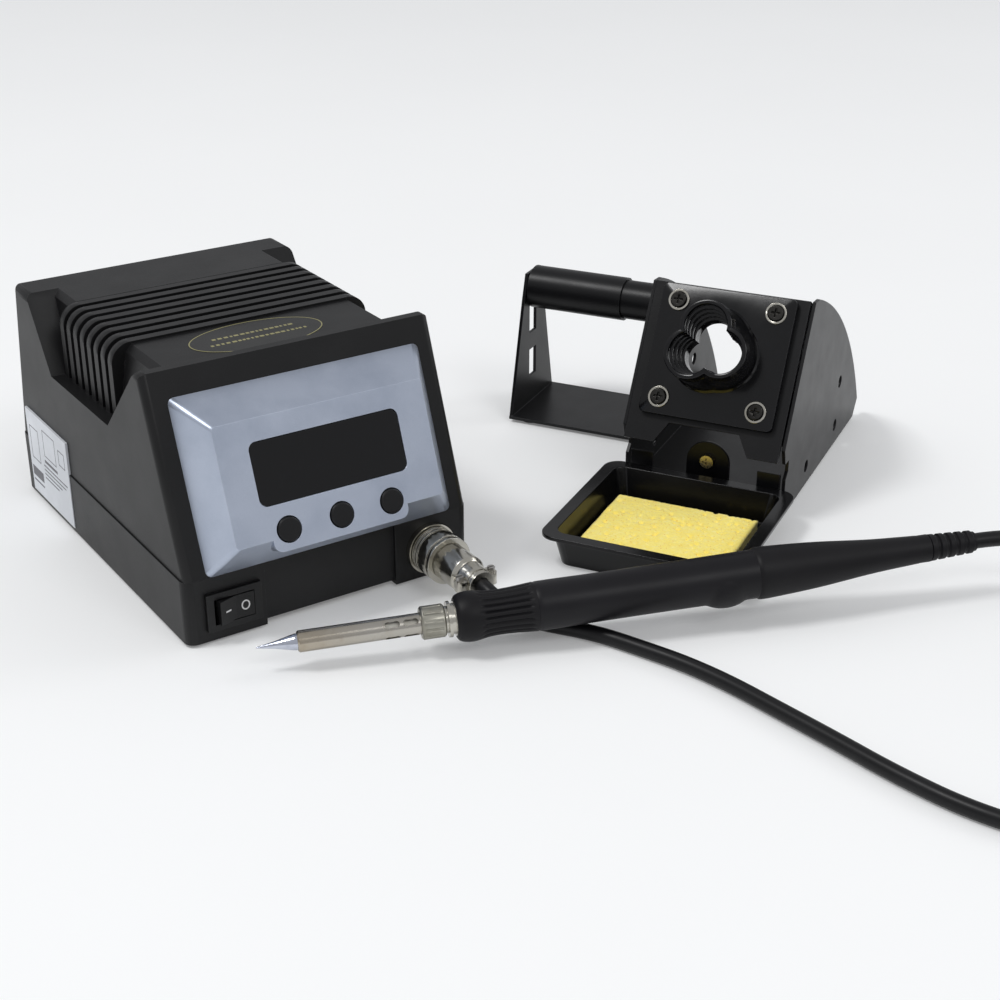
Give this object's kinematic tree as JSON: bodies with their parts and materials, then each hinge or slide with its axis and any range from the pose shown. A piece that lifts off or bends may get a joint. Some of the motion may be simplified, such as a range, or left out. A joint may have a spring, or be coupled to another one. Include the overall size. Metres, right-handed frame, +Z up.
{
  "type": "soldering iron station",
  "caption": "Soldering station: ribbed control unit with display, push buttons and rocker switch, corded iron, and a stand with iron holder, sponge tray and reel spindle.",
  "frame": {"origin": "on the bench, in the middle of the footprint of control unit, stand and iron, without the cord", "axes": "+Z up; +X along the control unit's front from its switch to its socket, towards the stand; the control unit faces -Y"},
  "size_m": [0.3586, 0.4444, 0.0983],
  "materials": {
    "case_black": "fine-textured satin moulding",
    "bezel_silver": "bluish silver metallic paint",
    "window_black": "gloss",
    "button_black": "satin",
    "switch_black": "semi-gloss",
    "board_green": "solder-mask satin",
    "component_black": "moulded",
    "nickel": "bright nickel plating",
    "insulator": "phenolic, semi-matt",
    "core_steel": "laminated, lacquered",
    "winding_copper": "enamelled wire",
    "screw_steel": "zinc plated",
    "screw_brass": "passivated brass",
    "foot_rubber": "matt",
    "label_paper": "satin film",
    "stand_black": "powder coat, semi-matt",
    "holder_black": "gloss phenolic",
    "tray_black": "gloss moulding",
    "sponge_yellow": "open-cell cellulose",
    "tip_steel": "tinned and plated",
    "sleeve_steel": "drawn stainless, heat-tinted",
    "ceramic": "fired alumina",
    "grip_rubber": "soft matt rubber",
    "handle_black": "satin heat-proof plastic",
    "cord_black": "satin silicone-rubber jacket"
  },
  "bodies": {
    "station": {"base_shell": "case_black", "top_cover": "case_black", "front_bezel": "bezel_silver", "display_window": "window_black", "display_module": "component_black", "control_board": "board_green", "tact_switches": "component_black", "switch_housing": "switch_black", "socket_body": "nickel", "socket_nut": "nickel", "socket_insert": "insulator", "mains_inlet": "switch_black", "fuse_holder": "switch_black", "transformer_core": "core_steel", "transformer_windings": "winding_copper", "transformer_screws": "screw_steel", "main_board": "board_green", "power_components": "component_black", "case_screws": "screw_steel", "station_feet": "foot_rubber", "rating_label": "label_paper", "plug_shell": "nickel", "plug_insert": "insulator", "plug_clamp": "nickel", "plug_screws": "screw_steel", "cord_iron_run": "cord_black", "cord_plug_run": "cord_black", "cord_coil": "cord_black"},
    "rocker": {"power_rocker": "switch_black"},
    "left_button": {"button_left": "button_black"},
    "middle_button": {"button_middle": "button_black"},
    "right_button": {"button_right": "button_black"},
    "coupling_ring": {"plug_ring": "nickel"},
    "stand": {"stand_frame": "stand_black", "stand_panel": "stand_black", "iron_holder": "holder_black", "holder_washers": "nickel", "holder_screws": "screw_steel", "ear_screw": "screw_brass", "reel_bracket": "stand_black", "stand_feet": "foot_rubber"},
    "spindle": {"reel_spindle_outer": "stand_black"},
    "spindle_slider": {"reel_spindle_inner": "stand_black"},
    "tray": {"sponge_tray": "tray_black"},
    "sponge_pad": {"sponge": "sponge_yellow"},
    "iron": {"iron_tip": "tip_steel", "heater": "ceramic", "tip_sleeve": "sleeve_steel", "nose_bush": "nickel", "front_grip": "grip_rubber", "handle_body": "handle_black", "rear_sleeve": "grip_rubber", "terminal_board": "board_green", "strain_relief": "cord_black"},
    "iron_nut": {"barrel_nut": "nickel"}
  },
  "joints": [
    {"name": "power_switch", "type": "hinge", "parent": "station", "child": "rocker", "pos_m": [-0.1604, -0.0209, 0.0132], "axis": [0, 0, 1], "range_deg": [-16, 0]},
    {"name": "press_left", "type": "slide", "parent": "station", "child": "left_button", "axis": [0, 0.9385, -0.3453], "range_m": [0, 0.0008], "stiffness_N_per_m": 800},
    {"name": "press_middle", "type": "slide", "parent": "station", "child": "middle_button", "axis": [0, 0.9385, -0.3453], "range_m": [0, 0.0008], "stiffness_N_per_m": 800},
    {"name": "press_right", "type": "slide", "parent": "station", "child": "right_button", "axis": [0, 0.9385, -0.3453], "range_m": [0, 0.0008], "stiffness_N_per_m": 800},
    {"name": "ring_spin", "type": "hinge", "parent": "station", "child": "coupling_ring", "pos_m": [-0.0769, -0.0314, 0.0138], "axis": [0, 1, 0], "continuous": true},
    {"name": "stand_slide", "type": "slide", "parent": "station", "child": "stand", "axis": [0.848, 0.5299, 0], "range_m": [0, 0.08]},
    {"name": "spindle_spin", "type": "hinge", "parent": "stand", "child": "spindle", "pos_m": [0.07385, 0.0762, 0.06], "axis": [0.5299, -0.848, 0], "continuous": true},
    {"name": "spindle_telescope", "type": "slide", "parent": "spindle", "child": "spindle_slider", "axis": [-0.5299, 0.848, 0], "range_m": [0, 0.008], "stiffness_N_per_m": 300},
    {"name": "tray_lift", "type": "slide", "parent": "stand", "child": "tray", "axis": [-0.5347, 0.2074, 0.8192], "range_m": [0, 0.045]},
    {"name": "sponge_lift", "type": "slide", "parent": "tray", "child": "sponge_pad", "axis": [0, 0, 1], "range_m": [0, 0.03]},
    {"name": "iron_lift", "type": "slide", "parent": "station", "child": "iron", "axis": [0, 0, 1], "range_m": [0, 0.05]},
    {"name": "nut_spin", "type": "hinge", "parent": "iron", "child": "iron_nut", "pos_m": [-0.11014, -0.07107, 0.01311], "axis": [0.9313, -0.3612, 0.0466], "continuous": true}
  ]
}
